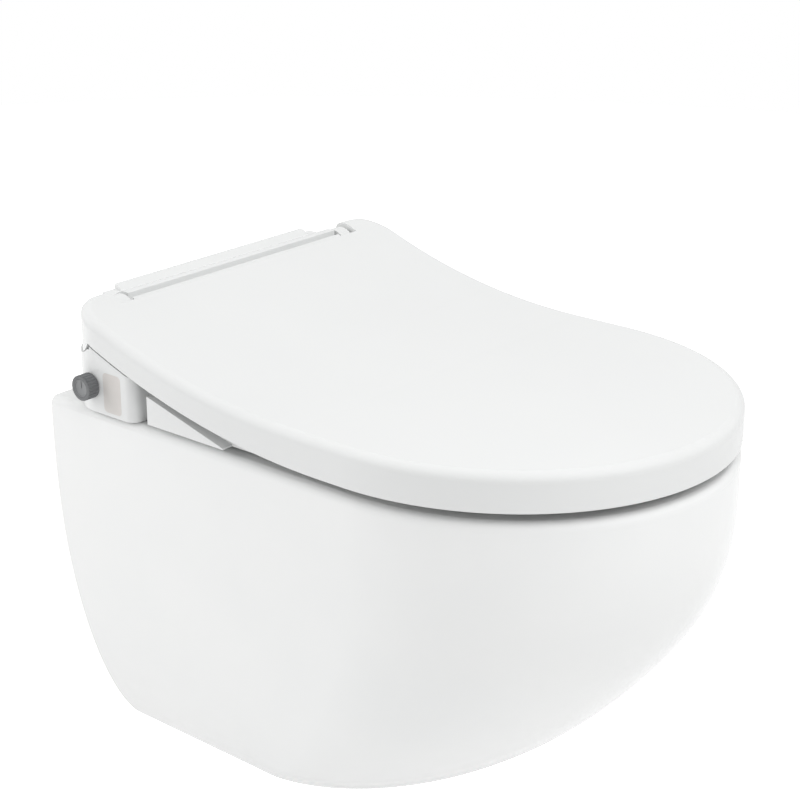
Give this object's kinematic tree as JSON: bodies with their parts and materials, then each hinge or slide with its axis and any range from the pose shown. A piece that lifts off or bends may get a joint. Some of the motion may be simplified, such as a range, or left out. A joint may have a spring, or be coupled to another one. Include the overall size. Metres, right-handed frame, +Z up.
{
  "type": "wall hung toilet",
  "caption": "White wall hung toilet pan with a shower seat: curved lid, seat ring, side dial and spray nozzles that slide out under the seat.",
  "frame": {"origin": "on the wall plane, midway between the two wall studs", "axes": "+Z up, +Y into the wall, so the pan's nose points to -Y; +X is to the right of someone facing the wall"},
  "size_m": [0.4011, 0.53, 0.4335],
  "materials": {
    "glaze": "white gloss glaze",
    "white_plastic": "white gloss",
    "grey_plastic": "moulded grey",
    "trim_plastic": "warm grey satin",
    "knob_plastic": "dark grey satin",
    "knob_face": "grey satin",
    "tube_plastic": "pale tube",
    "steel": "brushed",
    "zinc": "zinc plated",
    "brass": "turned",
    "rubber": "moulded grey"
  },
  "bodies": {
    "bowl_and_housing": {"pan_skirt": "glaze", "pan_rim": "glaze", "pan_bowl": "glaze", "pan_throat": "glaze", "pan_sump": "glaze", "pan_trap": "glaze", "pan_inlet": "glaze", "wall_brackets": "zinc", "bracket_washers": "zinc", "bracket_nuts": "zinc", "clamp_washers": "zinc", "clamp_bolts": "zinc", "clamp_nuts": "zinc", "mount_plate": "grey_plastic", "mount_bolts": "steel", "mount_bushes": "rubber", "mount_nuts": "grey_plastic", "housing_cover": "white_plastic", "housing_base": "white_plastic", "housing_screws": "steel", "side_trim_plate": "trim_plastic", "hinge_dampers": "grey_plastic", "hinge_pins": "steel", "valve_body": "grey_plastic", "valve_cartridge": "brass", "inlet_nipple": "brass", "inlet_filter": "steel", "supply_tube": "tube_plastic", "wash_tube": "tube_plastic", "bidet_tube": "tube_plastic", "nozzle_block": "grey_plastic"},
    "seat": {"seat_ring": "white_plastic", "seat_bushes": "grey_plastic", "seat_buffers": "rubber"},
    "lid": {"lid": "white_plastic", "lid_bushes": "grey_plastic", "lid_buffers": "rubber"},
    "knob": {"knob": "knob_plastic", "knob_cap": "knob_face", "valve_spindle": "brass"},
    "wash_wand": {"wash_nozzle": "white_plastic", "wash_tip": "tube_plastic"},
    "bidet_wand": {"bidet_nozzle": "white_plastic", "bidet_tip": "tube_plastic"}
  },
  "joints": [
    {"name": "seat_hinge", "type": "hinge", "parent": "bowl_and_housing", "child": "seat", "pos_m": [0, -0.037, 0.1535], "axis": [-1, 0, 0], "range_deg": [0, 97]},
    {"name": "lid_hinge", "type": "hinge", "parent": "seat", "child": "lid", "pos_m": [0, -0.037, 0.1535], "axis": [1, 0, 0], "range_deg": [-97, 0]},
    {"name": "knob_turn", "type": "hinge", "parent": "bowl_and_housing", "child": "knob", "pos_m": [-0.19, -0.055, 0.1085], "axis": [1, 0, 0], "range_deg": [-90, 90]},
    {"name": "wash_slide", "type": "slide", "parent": "bowl_and_housing", "child": "wash_wand", "axis": [0, -0.9511, -0.309], "range_m": [0, 0.065], "stiffness_N_per_m": 20, "springref_m": -0.01},
    {"name": "bidet_slide", "type": "slide", "parent": "bowl_and_housing", "child": "bidet_wand", "axis": [0, -0.9511, -0.309], "range_m": [0, 0.065], "stiffness_N_per_m": 20, "springref_m": -0.01}
  ]
}
